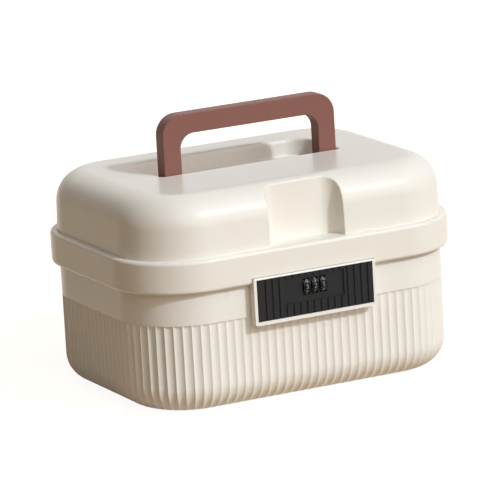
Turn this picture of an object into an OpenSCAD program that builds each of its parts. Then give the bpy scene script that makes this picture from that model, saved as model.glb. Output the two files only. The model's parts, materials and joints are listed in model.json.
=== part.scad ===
// Lockable storage box: a fluted base, a domed lid with a fold-down grip, and a lock flap with code dials.
// The origin is on the table under the middle of the box, +Z is up and the lock faces -Y.

/* [Box] */
// Width across the lid band
box_w = 300; // [280:1:330]
// Depth across the lid band
box_d = 224; // [216:1:250]
// Height from the table to the top of the closed lid
box_h = 177; // [174:1:190]
// Plan radius of the lid band's corners
band_corner_r = 61; // [57:1:66]
// Height of the lid band's lower edge
band_z = 101; // [98:1:110]
// Height of the lid band
band_h = 26.7; // [25:0.1:29]
// Wall of the base and of the lid
wall = 3; // [2.4:0.1:3.6]

/* [Base] */
// Step in from the band to the base wall
base_inset = 5.9; // [5.5:0.1:7]
// Plan radius of the base wall's corners
base_corner_r = 57; // [54:1:62]
// Radius between the base's wall and its floor
base_fillet_r = 22.6; // [16:0.2:26]
// Height at which the flutes end under the plain strip
flute_top_z = 74; // [60:1:90]
// Spacing of the flutes
flute_pitch = 7.4; // [7:0.1:12]
// Depth of a flute
flute_depth = 1.2; // [0.6:0.1:1.8]

/* [Lid] */
// Step in from the band to the domed wall
dome_inset = 5.7; // [5.2:0.1:6.5]
// Plan radius of the domed wall's corners
dome_corner_r = 55.5; // [50:0.5:60]
// Lean of the domed wall, in degrees
dome_draft = 2.4; // [0:0.1:4]
// Radius between the domed wall and the flat top
dome_fillet_r = 26; // [20:0.5:27]
// Radius along the band's edges
band_edge_r = 2.8; // [1:0.1:2.9]
// Width of the thumb recess in the lid's front
notch_w = 67; // [50:1:80]
// How far the thumb recess is set back from the band's face
notch_d = 22.8; // [18:0.2:26]
// Plan radius of the thumb recess's inner corners
notch_r = 12.5; // [6:0.5:16]

/* [Handle] */
// Width of the handle over its legs
handle_w = 158.2; // [134:0.2:172]
// Width of one leg
leg_w = 16; // [13:0.1:18.5]
// Depth of the handle, front to back
handle_t = 13.2; // [11:0.1:13.8]
// Height of the grip bar
bar_h = 16.5; // [13:0.1:19]
// Height of the grip bar's top over the pivot
handle_reach = 56.2; // [48:0.1:62]
// Outer corner radius of the handle
handle_corner_r = 17; // [13:0.5:22]
// Inner corner radius of the handle
handle_inner_r = 12.5; // [6:0.5:14]
// Place of the pivot behind the lid's middle
pivot_y = -5.9; // [-11.5:0.05:0.5]
// Radius of the two pivot pins
pivot_pin_r = 3; // [2.4:0.1:3.6]
// Depth of the handle's pocket in the lid
pocket_depth = 14.6; // [14.3:0.1:16.4]

/* [Lock] */
// Width of the lock frame
lock_w = 110.6; // [100:0.2:120]
// Height of the lock frame
lock_h = 38.7; // [37:0.1:42]
// How far the lock frame reaches up over the band's lower edge
lock_lap = 5; // [4:0.1:7]
// How far the lock frame stands out from the band's face
lock_proud = 2.4; // [2:0.05:3]
// Width of the frame's border at its sides
lock_border = 2.5; // [2:0.1:3.5]
// Pitch of the ribs on the black plate
rib_pitch = 6.2; // [5:0.02:8]
// How far the row of ribs sits to the right of the plate's middle
rib_shift = 1.1; // [0:0.1:1.5]
// Width of the groove between two ribs
rib_groove_w = 1.2; // [0.8:0.1:2]
// Width of the plain panel round the dials
panel_w = 52.6; // [44:0.2:56]
// Height of the plain panel round the dials
panel_h = 21.2; // [19:0.2:23]
// Spacing of the code dials
dial_pitch = 7.5; // [7.3:0.1:8.4]
// Radius of a code dial
dial_r = 8; // [7.6:0.05:8.1]
// Width of a code dial
dial_w = 5.9; // [5:0.1:6.4]
// Width of the window over a dial
window_w = 6.3; // [6.2:0.05:6.9]
// Height of the window over a dial
window_h = 13.8; // [13.6:0.1:14.4]
// Travel of the bolt
bolt_travel = 5.5; // [5:0.1:6]
// Radius of the bolt
bolt_r = 1.5; // [1.2:0.1:1.6]
// Radius of the flap's hinge pin
flap_pin_r = 1; // [0.8:0.05:1.2]

/* [Rear hinges] */
// Width of one rear hinge
hinge_w = 42; // [34:1:50]
// Radius of a hinge barrel
barrel_r = 4.5; // [4:0.1:4.8]
// Radius of a hinge pin
hinge_pin_r = 2; // [1.6:0.1:2.4]

/* [Hidden] */
$fn = 96;

// Clearances
run_gap = 0.05;
fit_gap = 0.15;
seat_gap = 0.3;
free_gap = 0.8;
cut = 1;

// Base and lid
hx = box_w / 2;
hy = box_d / 2;
base_hx = hx - base_inset;
base_hy = hy - base_inset;
dome_hx = hx - dome_inset;
dome_hy = hy - dome_inset;
band_top = band_z + band_h;
web_z = band_top - wall;
rim_z = web_z - seat_gap;
skirt_t = wall + 0.2;
skirt_hx = hx - skirt_t;
skirt_hy = hy - skirt_t;

// Rear hinges
hinge_out = 6;
hinge_drop = 1.5;
hinge_y = hy + hinge_out;
hinge_z = band_z - hinge_drop;
hinge_in = 2;
hinge_x = base_hx - base_corner_r - hinge_in - hinge_w / 2;
knuckle_w = hinge_w * 2 / 7;
lid_knuckle_w = hinge_w - 2 * knuckle_w - 2 * seat_gap;
arm_root = 2.5;
arm_drop = 14;
arm_top = band_z - 0.5;
lid_arm_h = 12;
lid_arm_root = 1.5;

// Handle
pivot_drop = 7.35;
pivot_z = box_h - pivot_drop;
pocket_floor = box_h - pocket_depth;
pocket_side = 3.7;
pocket_hx = handle_w / 2 + pocket_side;
pocket_end = 2.2;
pocket_y0 = pivot_y - handle_t / 2 - free_gap;
pocket_y1 = pivot_y + handle_reach + pocket_end;
pocket_r = 5.5;
pocket_back_r = handle_corner_r + pocket_end;
tub_t = 2.5;
dome_root = 4;
pin_depth = 11;
pin_boss_r = 5.5;
pin_boss_w = 6;
handle_top = pivot_z + handle_reach;

// Lock flap
lock_front = -(hy + lock_proud);
lock_top = band_z + lock_lap;
lock_bottom = lock_top - lock_h;
lock_corner_r = 2;
lock_edge_r = 1;
lock_gap = 0.75;
lock_back = -(base_hy + lock_gap);
plate_t = 2.2;
tray_floor = lock_back - plate_t;
insert_hx = lock_w / 2 - lock_border;
lower_border = 2.9;
upper_border = 1.3;
insert_z0 = lock_bottom + lower_border;
insert_z1 = lock_top - upper_border;
notch_gap = 0.4;

// Black plate
fascia_set = 0.4;
fascia_front = lock_front + fascia_set;
fascia_t = 2.4;
fascia_rim = 1.5;
panel_depth = 1.1;
rib_depth = 0.8;
panel_drop = 4.3;
panel_z1 = lock_top - panel_drop;
panel_z0 = panel_z1 - panel_h;

// Flap hinge
barrel_wall = 1.2;
flap_barrel_r = flap_pin_r + barrel_wall;
flap_in = 1.15;
flap_y = lock_back - flap_barrel_r - flap_in;
flap_up = 0.1;
flap_z = lock_bottom + flap_barrel_r + flap_up;
lug_wall = 1;
lug_r = flap_pin_r + lug_wall;
lug_arm_r = lug_r * 0.7;
lug_w = 8;
lug_in = 16;
lug_x = lock_w / 2 - lug_in;
lock_side_t = 1.9;

// Dials
dial_drop = 13.3;
dial_z = lock_top - dial_drop;
dial_out = 3.6;
dial_y = fascia_front + fascia_t + dial_r - dial_out;
spindle_r = 1.5;
hub_r = 4.2;
hub_gap = 0.15;
detent_n = 10;
notch_cut_r = 0.9;
notch_cut_out = 0.55;

// Chassis, bolt and detent spring
cheek_t = 1.6;
cheek_x = 1.5 * dial_pitch + seat_gap;
cheek_hx = cheek_x + cheek_t;
chassis_nose = 2.6;
chassis_y0 = dial_y - chassis_nose;
chassis_drop = 2.9;
chassis_z0 = dial_z - dial_r - chassis_drop;
chassis_floor_t = 1.2;
chassis_rim = 1.5;
spindle_end = 0.6;
bolt_up = 0.8;
bolt_z = dial_z + bolt_up;
bolt_y = dial_y + dial_r + free_gap + bolt_r;
collar_lip = 0.5;
collar_r = bolt_r + collar_lip;
collar_t = 1;
collar_x = -cheek_hx - fit_gap - bolt_travel - collar_t;
bolt_nose = 0.9;
bolt_x1 = cheek_hx + bolt_nose;
bevel = 2.4;
leaf_t = 0.4;
finger_w = 2;
finger_l = 4;
leaf_seat_l = 3;
leaf_end_gap = 0.2;
bump_r = 0.55;
bump_gap = 0.1;
bump_z = dial_z - dial_r - bump_r - bump_gap;

// Lock case behind the frame
case_hx = 27;
case_t = 1.8;
case_up = 4.7;
case_z0 = lock_bottom + case_up;
case_drop = 2.6;
case_z1 = lock_top - case_drop;
case_rise = 4;
case_z2 = bolt_z + case_rise;
case_back = bolt_y + bolt_r + free_gap;
cover_t = 1.6;
screw_r = 1;
screw_head_r = 1.9;
screw_head_t = 0.8;
screw_in = 5;
screw_end = 0.2;
post_r = 2.6;
post_in = 3;
post_x = case_hx - post_in;
post_up = 3.4;
post_z0 = case_z0 + post_up;
post_drop = 7;
post_z1 = bolt_z - post_drop;
well_gap = 1;
well_side = 1.5;
well_hx = case_hx + well_side;
well_floor = case_z0 - free_gap;
well_rise = 2;
well_top = lock_top + well_rise;
well_back = case_back + cover_t + well_gap;
well_t = 2.5;

// Striker
striker_off = 3.2;
striker_x = bolt_x1 + striker_off;
striker_t = 2;
striker_mid = striker_x + striker_t / 2;
striker_web = 0.8;
striker_eye_gap = 0.35;
striker_y0 = bolt_y - bolt_r - striker_web;
striker_tail = 0.6;
striker_y1 = case_back + striker_tail;
striker_end = 2;
striker_z0 = bolt_z - bolt_r - striker_end;
striker_w = 18;
striker_d = 12;
striker_foot_back = 3.5;
striker_foot_y = striker_y1 + striker_foot_back - striker_d;
striker_foot_t = 1.6;
striker_screw_x = 5.5;
striker_screw_r = 1.2;
striker_slot = 1.4;
slot_front = 1;
slot_drop = 6;
slot_z = striker_z0 - slot_drop;

// Coil spring behind the bolt
spring_r = bolt_r - 0.25;
spring_wire_r = 0.22;
spring_turns = 5;
spring_x0 = -case_hx + case_t + spring_wire_r;
spring_x1 = collar_x - spring_wire_r;
spring_steps = 16;
spring_sides = 6;

// Fluted wall, seen from above: flutes all the way round, one in the middle of the front
// and their ridges a hair behind the plain strip
flute_steps = 6;
flute_sink = 0.1;
flute_cx = base_hx - base_corner_r;
flute_cy = base_hy - base_corner_r;
flute_bend = base_corner_r * PI / 2;
quarter = flute_cx + flute_bend + flute_cy;
flute_n = 2 * round(2 * quarter / flute_pitch);
flute_p = 4 * quarter / flute_n;

// How far a flute is cut in, u flutes after a ridge
function flute_in(u) =
    let (r = (flute_p * flute_p / 4 + flute_depth * flute_depth) / (2 * flute_depth),
         w = flute_p * (u - floor(u) - 0.5))
    sqrt(r * r - w * w) - (r - flute_depth);

// Point of the front right quarter, s mm round from the middle of the front and d mm in
function quarter_point(s, d) =
    s < flute_cx ? [s, d - base_hy]
    : s < flute_cx + flute_bend
        ? let (a = 90 * (s - flute_cx) / flute_bend, q = base_corner_r - d)
            [flute_cx + q * sin(a), -flute_cy - q * cos(a)]
    : [base_hx - d, s - quarter];

function fluted_outline() =
    [for (i = [0:flute_n * flute_steps - 1])
        let (s = i * flute_p / flute_steps, k = floor(s / quarter), t = s - k * quarter,
             p = quarter_point(k % 2 == 0 ? t : quarter - t, flute_sink + flute_in(i / flute_steps + 0.5)))
        [k < 2 ? p.x : -p.x, k == 0 || k == 3 ? p.y : -p.y]];

// Rounded rectangle about the origin
module plan(px, py, r) {
    square([2 * px, 2 * (py - r)], center = true);
    square([2 * (px - r), 2 * py], center = true);
    for (sx = [-1, 1], sy = [-1, 1])
        translate([sx * (px - r), sy * (py - r)]) circle(r);
}

// Solid whose edge profile runs round a rounded rectangle; the profile starts at the corner's axis
module around(px, py, r, z0, z1) {
    cx = px - r;
    cy = py - r;
    for (sx = [0, 1], sy = [0, 1])
        mirror([sx, 0, 0]) mirror([0, sy, 0]) translate([cx, cy, 0])
            rotate_extrude(angle = 90) children();
    for (s = [0, 1])
        mirror([0, s, 0]) translate([-cx, cy, 0]) rotate([90, 0, 90]) linear_extrude(2 * cx) children();
    for (s = [0, 1])
        mirror([s, 0, 0]) translate([cx, cy, 0]) rotate([90, 0, 0]) linear_extrude(2 * cy) children();
    translate([-cx, -cy, z0]) cube([2 * cx, 2 * cy, z1 - z0]);
}

// Profile of a wall that stands on a round bottom edge
module tub_profile(r, fillet, z0, z1) {
    translate([0, z0]) square([r - fillet, z1 - z0]);
    translate([0, z0 + fillet]) square([r, z1 - z0 - fillet]);
    translate([r - fillet, z0 + fillet]) circle(fillet);
}

// Profile of a leaning wall that turns into a flat top
module dome_profile(r, fillet, z0, z1) {
    cz = z1 - fillet;
    cx = r - (fillet + (cz - z0) * sin(dome_draft)) / cos(dome_draft);
    polygon([[0, z0], [r, z0],
             [cx + fillet * cos(dome_draft), cz + fillet * sin(dome_draft)],
             [cx, cz], [cx, z1], [0, z1]]);
    translate([cx, cz]) circle(fillet);
}

// Profile of the band, round along both edges
module band_profile(r, edge, z0, z1) {
    translate([0, z0]) square([r - edge, z1 - z0]);
    translate([0, z0 + edge]) square([r, z1 - z0 - 2 * edge]);
    translate([r - edge, z0 + edge]) circle(edge);
    translate([r - edge, z1 - edge]) circle(edge);
}

module x_rod(x0, x1, y, z, r) {
    translate([x0, y, z]) rotate([0, 90, 0]) cylinder(h = x1 - x0, r = r);
}

module y_rod(y0, y1, x, z, r) {
    translate([x, y0, z]) rotate([-90, 0, 0]) cylinder(h = y1 - y0, r = r);
}

module box(x0, x1, y0, y1, z0, z1) {
    translate([x0, y0, z0]) cube([x1 - x0, y1 - y0, z1 - z0]);
}

// Shape drawn in Y and Z, from x0 to x1
module x_slab(x0, x1) {
    translate([x0, 0, 0]) rotate([90, 0, 90]) linear_extrude(x1 - x0) children();
}

// Base

module base_outside() {
    difference() {
        around(base_hx, base_hy, base_corner_r, 0, rim_z)
            tub_profile(base_corner_r, base_fillet_r, 0, rim_z);
        translate([0, 0, -cut]) linear_extrude(flute_top_z + cut) difference() {
            square([2 * hx, 2 * hy], center = true);
            polygon(fluted_outline());
        }
    }
}

module base_inside() {
    r = base_corner_r - wall;
    around(base_hx - wall, base_hy - wall, r, wall, rim_z + cut)
        tub_profile(r, base_fillet_r - wall, wall, rim_z + cut);
}

module base_arms() {
    for (sx = [-1, 1], s = [0, 1]) {
        x0 = sx * hinge_x - hinge_w / 2 + s * (hinge_w - knuckle_w);
        x_slab(x0, x0 + knuckle_w) {
            polygon([[base_hy - arm_root, hinge_z - arm_drop], [base_hy - arm_root, arm_top],
                     [hinge_y, arm_top], [hinge_y, hinge_z - barrel_r]]);
            translate([hinge_y, hinge_z]) circle(barrel_r);
        }
    }
}

// Well behind the lock flap, open to the front and at the top
module lock_well_outside() {
    box(-well_hx - well_t, well_hx + well_t, -base_hy + wall / 2, well_back + well_t,
        well_floor - well_t, well_top);
}

module lock_well_inside() {
    box(-well_hx, well_hx, -base_hy - cut, well_back, well_floor, well_top);
    box(-well_hx, well_hx, -base_hy + wall, well_back, well_floor, well_top + cut);
}

// Two lugs that carry the flap's hinge pin
module flap_lugs() {
    for (s = [0, 1])
        mirror([s, 0, 0])
            x_slab(lug_x - lug_w / 2, lug_x + lug_w / 2) {
                translate([flap_y, flap_z]) circle(lug_r);
                translate([flap_y, flap_z - lug_arm_r])
                    square([-base_hy + wall / 2 - flap_y, 2 * lug_arm_r]);
            }
}

module base_shell() color("#e9e5db") {
    difference() {
        union() {
            difference() {
                base_outside();
                base_inside();
            }
            lock_well_outside();
            base_arms();
            flap_lugs();
        }
        lock_well_inside();
        for (sx = [-1, 1])
            x_rod(sx * hinge_x - hinge_w / 2 - cut, sx * hinge_x + hinge_w / 2 + cut, hinge_y, hinge_z,
                  hinge_pin_r + run_gap);
        x_rod(-lock_w / 2, lock_w / 2, flap_y, flap_z, flap_pin_r + run_gap);
    }
}

module flap_pin() color("#b9bcc0") {
    x_rod(-lock_w / 2 + lock_side_t + fit_gap, lock_w / 2 - fit_gap, flap_y, flap_z, flap_pin_r);
}

module hinge_pin(sx) color("#b9bcc0") {
    x_rod(sx * hinge_x - hinge_w / 2, sx * hinge_x + hinge_w / 2, hinge_y, hinge_z, hinge_pin_r);
}

module hinge_pin_left() hinge_pin(-1);
module hinge_pin_right() hinge_pin(1);

// Lid

module dome_solid(t, z0) {
    r = dome_corner_r - t;
    around(dome_hx - t, dome_hy - t, r, z0, box_h - t)
        dome_profile(r - (z0 - band_top) * tan(dome_draft), dome_fillet_r - t, z0, box_h - t);
}

module lid_outside() {
    around(hx, hy, band_corner_r, band_z, band_top)
        band_profile(band_corner_r, band_edge_r, band_z, band_top);
    dome_solid(0, band_top - dome_root);
}

module notch_plan(grow) {
    r = notch_r + grow;
    back = -(hy - notch_d) + grow;
    half = notch_w / 2 + grow;
    translate([-half, -hy - cut]) square([2 * half, back - r + hy + cut]);
    translate([-half + r, -hy - cut]) square([2 * (half - r), back + hy + cut]);
    for (s = [-1, 1])
        translate([s * (half - r), back - r]) circle(r);
}

// The pocket follows the folded handle, with small corners at the legs and large ones at the bar
module pocket_plan(grow) {
    hx = pocket_hx + grow;
    y0 = pocket_y0 - grow;
    y1 = pocket_y1 + grow;
    front_r = pocket_r + grow;
    back_r = pocket_back_r + grow;
    translate([-hx, y0 + front_r])
        square([2 * hx, y1 - back_r - y0 - front_r]);
    translate([-hx + front_r, y0])
        square([2 * (hx - front_r), y1 - back_r - y0]);
    translate([-hx + back_r, y0 + front_r])
        square([2 * (hx - back_r), y1 - y0 - front_r]);
    for (s = [-1, 1]) {
        translate([s * (hx - front_r), y0 + front_r]) circle(front_r);
        translate([s * (hx - back_r), y1 - back_r]) circle(back_r);
    }
}

module lid_arms() {
    for (sx = [-1, 1])
        x_slab(sx * hinge_x - lid_knuckle_w / 2, sx * hinge_x + lid_knuckle_w / 2) {
            polygon([[hy - lid_arm_root, band_z + band_edge_r], [hy - lid_arm_root, band_z + lid_arm_h],
                     [hy + lid_arm_root / 3, band_z + lid_arm_h],
                     [hinge_y + barrel_r * 0.72, hinge_z + barrel_r * 0.7],
                     [hinge_y, hinge_z - barrel_r * 0.6]]);
            translate([hinge_y, hinge_z]) circle(barrel_r);
        }
}

// Room in the band's lower edge for the top of the lock frame
module lock_notch() {
    box(-lock_w / 2 - notch_gap, lock_w / 2 + notch_gap, -hy - cut, -skirt_hy + cut,
        band_z - cut, lock_top + notch_gap);
}

module lid_shell() color("#e4ddd1") {
    difference() {
        union() {
            difference() {
                lid_outside();
                translate([0, 0, band_z - cut]) linear_extrude(web_z - band_z + cut)
                    plan(skirt_hx, skirt_hy, band_corner_r - skirt_t);
                dome_solid(wall, web_z - seat_gap);
            }
            intersection() {
                dome_solid(0, band_top - dome_root);
                union() {
                    translate([0, 0, pocket_floor - tub_t]) linear_extrude(pocket_depth + tub_t)
                        pocket_plan(tub_t);
                    translate([0, 0, web_z]) linear_extrude(box_h - web_z) notch_plan(wall);
                    for (s = [0, 1])
                        mirror([s, 0, 0])
                            x_rod(pocket_hx, pocket_hx + pin_boss_w, pivot_y, pivot_z, pin_boss_r);
                }
            }
            lid_arms();
        }
        translate([0, 0, pocket_floor]) linear_extrude(pocket_depth + cut) pocket_plan(0);
        translate([0, 0, band_top]) linear_extrude(box_h - band_top + cut) notch_plan(0);
        for (s = [0, 1])
            mirror([s, 0, 0])
                x_rod(pocket_hx - cut, pocket_hx + pin_boss_w + cut, pivot_y, pivot_z, pivot_pin_r + run_gap);
        for (sx = [-1, 1])
            x_rod(sx * hinge_x - hinge_w / 2, sx * hinge_x + hinge_w / 2, hinge_y, hinge_z,
                  hinge_pin_r + run_gap);
        lock_notch();
        at_striker_screws() cylinder(h = wall * 2 / 3, r = striker_screw_r + run_gap);
    }
}

// Two places for the striker's screws, on the underside of the lid's web
module at_striker_screws() {
    for (s = [-1, 1])
        translate([striker_mid + s * striker_screw_x, striker_foot_y + striker_d / 2, web_z]) children();
}

// Steel eye that hangs from the lid into the lock case
module striker() color("#b9bcc0") {
    difference() {
        union() {
            box(striker_mid - striker_w / 2, striker_mid + striker_w / 2, striker_foot_y,
                striker_foot_y + striker_d, web_z - striker_foot_t, web_z);
            box(striker_x, striker_x + striker_t, striker_y0, striker_y1, striker_z0,
                web_z - striker_foot_t / 2);
        }
        x_rod(striker_x - cut, striker_x + striker_t + cut, bolt_y, bolt_z, bolt_r + striker_eye_gap);
        at_striker_screws() translate([0, 0, -striker_foot_t - cut])
            cylinder(h = striker_foot_t + 2 * cut, r = striker_screw_r + run_gap);
    }
}

module striker_screws() color("#9a9da1") {
    at_striker_screws() {
        translate([0, 0, -striker_foot_t - striker_screw_r])
            cylinder(h = striker_foot_t + striker_screw_r + wall / 2, r = striker_screw_r);
        translate([0, 0, -striker_foot_t - striker_screw_r])
            cylinder(h = striker_screw_r - run_gap, r = 2 * striker_screw_r);
    }
}

module handle_pin() {
    x_rod(handle_w / 2 - pin_depth + seat_gap, pocket_hx + pin_boss_w, pivot_y, pivot_z, pivot_pin_r);
}

module handle_pin_left() color("#b9bcc0") mirror([1, 0, 0]) handle_pin();
module handle_pin_right() color("#b9bcc0") handle_pin();

// Handle

module handle_outline() {
    inner_hx = handle_w / 2 - leg_w;
    bottom = -handle_t / 2;
    difference() {
        union() {
            translate([-handle_w / 2, bottom])
                square([handle_w, handle_reach - handle_corner_r - bottom]);
            translate([-handle_w / 2 + handle_corner_r, bottom])
                square([handle_w - 2 * handle_corner_r, handle_reach - bottom]);
            for (s = [-1, 1])
                translate([s * (handle_w / 2 - handle_corner_r), handle_reach - handle_corner_r])
                    circle(handle_corner_r);
        }
        translate([-inner_hx, bottom - cut])
            square([2 * inner_hx, handle_reach - bar_h - handle_inner_r - bottom + cut]);
        translate([-inner_hx + handle_inner_r, bottom - cut])
            square([2 * (inner_hx - handle_inner_r), handle_reach - bar_h - bottom + cut]);
        for (s = [-1, 1])
            translate([s * (inner_hx - handle_inner_r), handle_reach - bar_h - handle_inner_r])
                circle(handle_inner_r);
    }
}

module handle() color("#92625c") {
    difference() {
        intersection() {
            translate([0, pivot_y + handle_t / 2, pivot_z]) rotate([90, 0, 0])
                linear_extrude(handle_t) handle_outline();
            x_slab(-handle_w / 2 - cut, handle_w / 2 + cut) {
                translate([pivot_y - handle_t / 2, pivot_z]) square([handle_t, handle_reach + cut]);
                translate([pivot_y, pivot_z]) circle(handle_t / 2);
            }
        }
        for (s = [0, 1])
            mirror([s, 0, 0])
                x_rod(handle_w / 2 - pin_depth, handle_w / 2 + cut, pivot_y, pivot_z, pivot_pin_r + run_gap);
    }
}

// Lock flap

module frame_block() {
    intersection() {
        translate([0, lock_back, (lock_top + lock_bottom) / 2]) rotate([90, 0, 0])
            linear_extrude(lock_back - lock_front) plan(lock_w / 2, lock_h / 2, lock_corner_r);
        x_slab(-lock_w / 2 - cut, lock_w / 2 + cut) difference() {
            union() {
                translate([lock_front, lock_bottom])
                    square([lock_back - lock_front, lock_h - lock_edge_r]);
                translate([lock_front + lock_edge_r, lock_bottom])
                    square([lock_back - lock_front - 2 * lock_edge_r, lock_h]);
                for (y = [lock_front + lock_edge_r, lock_back - lock_edge_r])
                    translate([y, lock_top - lock_edge_r]) circle(lock_edge_r);
            }
            difference() {
                translate([flap_y, lock_bottom - cut])
                    square([lock_back - flap_y + cut, flap_z - lock_bottom + cut]);
                translate([flap_y, flap_z]) circle(flap_barrel_r);
            }
        }
    }
}

// Four places for the cover's screws
module at_screws() {
    for (sx = [-1, 1], z = [post_z0, post_z1])
        translate([sx * post_x, 0, z]) children();
}

// Side view of the lock case, drawn in by t on every side but the front
module case_shape(t) {
    front = lock_back - plate_t / 2;
    x_slab(-case_hx + t, case_hx - t)
        polygon([[front, case_z0 + t], [case_back, case_z0 + t], [case_back, case_z2 - t * 0.4],
                 [case_back - case_z1 + case_z2, case_z1 - t], [front, case_z1 - t]]);
}

// Slot in the lock case, open at the top and at the back, that the striker leaves by
module striker_room() {
    box(striker_x - striker_slot, striker_x + striker_t + striker_slot, striker_y0 - slot_front,
        case_back + cover_t + cut, slot_z, lock_top);
}

module lock_frame() color("#ece8e0") {
    difference() {
        union() {
            difference() {
                frame_block();
                box(-insert_hx, insert_hx, lock_front - cut, tray_floor, insert_z0, insert_z1);
            }
            x_rod(-insert_hx, insert_hx, flap_y, flap_z, flap_barrel_r);
            case_shape(0);
        }
        difference() {
            union() {
                case_shape(case_t);
                box(-case_hx + case_t, case_hx - case_t, tray_floor - cut, case_back + cut,
                    case_z0 + case_t, case_z2 - case_t * 0.3);
                box(-case_hx + case_t, case_hx - case_t, tray_floor - cut, lock_back,
                    case_z0 + case_t, case_z1 - case_t);
            }
            at_screws() y_rod(tray_floor, case_back, 0, 0, post_r);
        }
        striker_room();
        x_rod(-lock_w / 2 + lock_side_t, lock_w / 2 + cut, flap_y, flap_z, flap_pin_r + run_gap);
        at_screws() y_rod(case_back - screw_in - screw_end, case_back + cut, 0, 0, screw_r + run_gap);
        for (s = [0, 1])
            mirror([s, 0, 0])
                box(lug_x - lug_w / 2 - seat_gap, lug_x + lug_w / 2 + seat_gap, flap_y - lug_r - seat_gap,
                    lock_back + cut, lock_bottom - cut, flap_z + lug_r + seat_gap);
    }
}

module lock_fascia() color("#333335") {
    hw = insert_hx - fit_gap;
    z0 = insert_z0 + fit_gap;
    z1 = insert_z1 - fit_gap;
    back = fascia_front + fascia_t;
    ribs = floor((hw - rib_shift) / rib_pitch + 0.5);
    difference() {
        box(-hw, hw, fascia_front, tray_floor, z0, z1);
        box(-hw + fascia_rim, hw - fascia_rim, back, tray_floor + cut, z0 - cut, z1 - fascia_rim);
        x_rod(-hw - cut, hw + cut, flap_y, flap_z, flap_barrel_r + fit_gap);
        for (i = [0:ribs - 1], s = [-1, 1])
            translate([rib_shift + s * (i + 0.5) * rib_pitch, 0, 0])
                box(-rib_groove_w / 2, rib_groove_w / 2, fascia_front - cut, fascia_front + rib_depth,
                    z0 - cut, z1 + cut);
        box(-panel_w / 2, panel_w / 2, fascia_front - cut, fascia_front + panel_depth, panel_z0, panel_z1);
        for (i = [-1:1])
            box(i * dial_pitch - window_w / 2, i * dial_pitch + window_w / 2, fascia_front, back + cut,
                dial_z - window_h / 2, dial_z + window_h / 2);
    }
}

module lock_cover() color("#2c2c2e") {
    difference() {
        box(-case_hx, case_hx, case_back, case_back + cover_t, case_z0, case_z2);
        at_screws() {
            y_rod(case_back - cut, case_back + cover_t + cut, 0, 0, screw_r + run_gap);
            y_rod(case_back + cover_t - screw_head_t - fit_gap, case_back + cover_t + cut, 0, 0,
                  screw_head_r + fit_gap);
        }
        striker_room();
    }
}

module cover_screws() color("#9a9da1") {
    at_screws() {
        y_rod(case_back - screw_in, case_back + cover_t - screw_head_t / 2, 0, 0, screw_r);
        y_rod(case_back + cover_t - screw_head_t - fit_gap, case_back + cover_t - fit_gap, 0, 0,
              screw_head_r);
    }
}

// Bracket that carries the dial spindle, the detent spring and the bolt
module lock_chassis() color("#8f9296") {
    difference() {
        union() {
            box(-cheek_hx, cheek_hx, chassis_y0, case_back, chassis_z0, chassis_z0 + chassis_floor_t);
            for (s = [0, 1])
                mirror([s, 0, 0])
                    box(cheek_x, cheek_hx, chassis_y0, case_back, chassis_z0, bolt_z + bolt_r + chassis_rim);
        }
        x_rod(-cheek_hx - cut, cheek_hx + cut, dial_y, dial_z, spindle_r + run_gap);
        x_rod(-cheek_hx - cut, cheek_hx + cut, bolt_y, bolt_z, bolt_r + run_gap);
    }
}

module dial_spindle() color("#b9bcc0") {
    x_rod(-cheek_hx - spindle_end, cheek_hx + spindle_end, dial_y, dial_z, spindle_r);
}

// Leaf spring with one finger under each dial's row of notches
module detent_spring() color("#a7aaae") {
    leaf_z = bump_z - bump_r;
    seat_y = dial_y + finger_l - bump_r;
    box(-cheek_x + leaf_end_gap, cheek_x - leaf_end_gap, seat_y, seat_y + leaf_seat_l,
        chassis_z0 + chassis_floor_t, leaf_z + leaf_t);
    for (i = [-1:1]) {
        x = i * dial_pitch - finger_w / 2;
        box(x, x + finger_w, dial_y - bump_r, seat_y + leaf_t, leaf_z, leaf_z + leaf_t);
        x_rod(x, x + finger_w, dial_y, bump_z, bump_r);
    }
}

module code_dial(i) color("#2a2a2c") {
    hw = dial_pitch / 2 - hub_gap;
    difference() {
        union() {
            x_rod(i * dial_pitch - dial_w / 2, i * dial_pitch + dial_w / 2, dial_y, dial_z, dial_r);
            x_rod(i * dial_pitch - hw, i * dial_pitch + hw, dial_y, dial_z, hub_r);
        }
        x_rod(i * dial_pitch - hw - cut, i * dial_pitch + hw + cut, dial_y, dial_z, spindle_r + run_gap);
        for (k = [0:detent_n - 1])
            translate([0, dial_y, dial_z]) rotate([k * 360 / detent_n, 0, 0])
                x_rod(i * dial_pitch - dial_w / 2 - cut, i * dial_pitch + dial_w / 2 + cut,
                      0, dial_r + notch_cut_out, notch_cut_r);
    }
}

module code_dial_left() code_dial(-1);
module code_dial_middle() code_dial(0);
module code_dial_right() code_dial(1);

// Round bolt, bevelled on top of its nose, with a collar for its spring
module lock_bolt() color("#b9bcc0") {
    difference() {
        union() {
            x_rod(collar_x, bolt_x1, bolt_y, bolt_z, bolt_r);
            x_rod(collar_x, collar_x + collar_t, bolt_y, bolt_z, collar_r);
        }
        translate([0, bolt_y + collar_r, 0]) rotate([90, 0, 0]) linear_extrude(2 * collar_r)
            polygon([[bolt_x1 - bevel, bolt_z + bolt_r], [bolt_x1, bolt_z + bolt_r - bevel],
                     [bolt_x1 + cut, bolt_z + bolt_r - bevel], [bolt_x1 + cut, bolt_z + bolt_r + cut],
                     [bolt_x1 - bevel, bolt_z + bolt_r + cut]]);
    }
}

// Point on the section of the spring's wire, i steps along the coil
function spring_point(i, j) =
    let (a = 360 * i / spring_steps, b = 360 * j / spring_sides,
         x = spring_x0 + (spring_x1 - spring_x0) * i / (spring_steps * spring_turns),
         r = spring_r + spring_wire_r * cos(b))
    [x + spring_wire_r * sin(b), bolt_y + r * cos(a), bolt_z + r * sin(a)];

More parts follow.
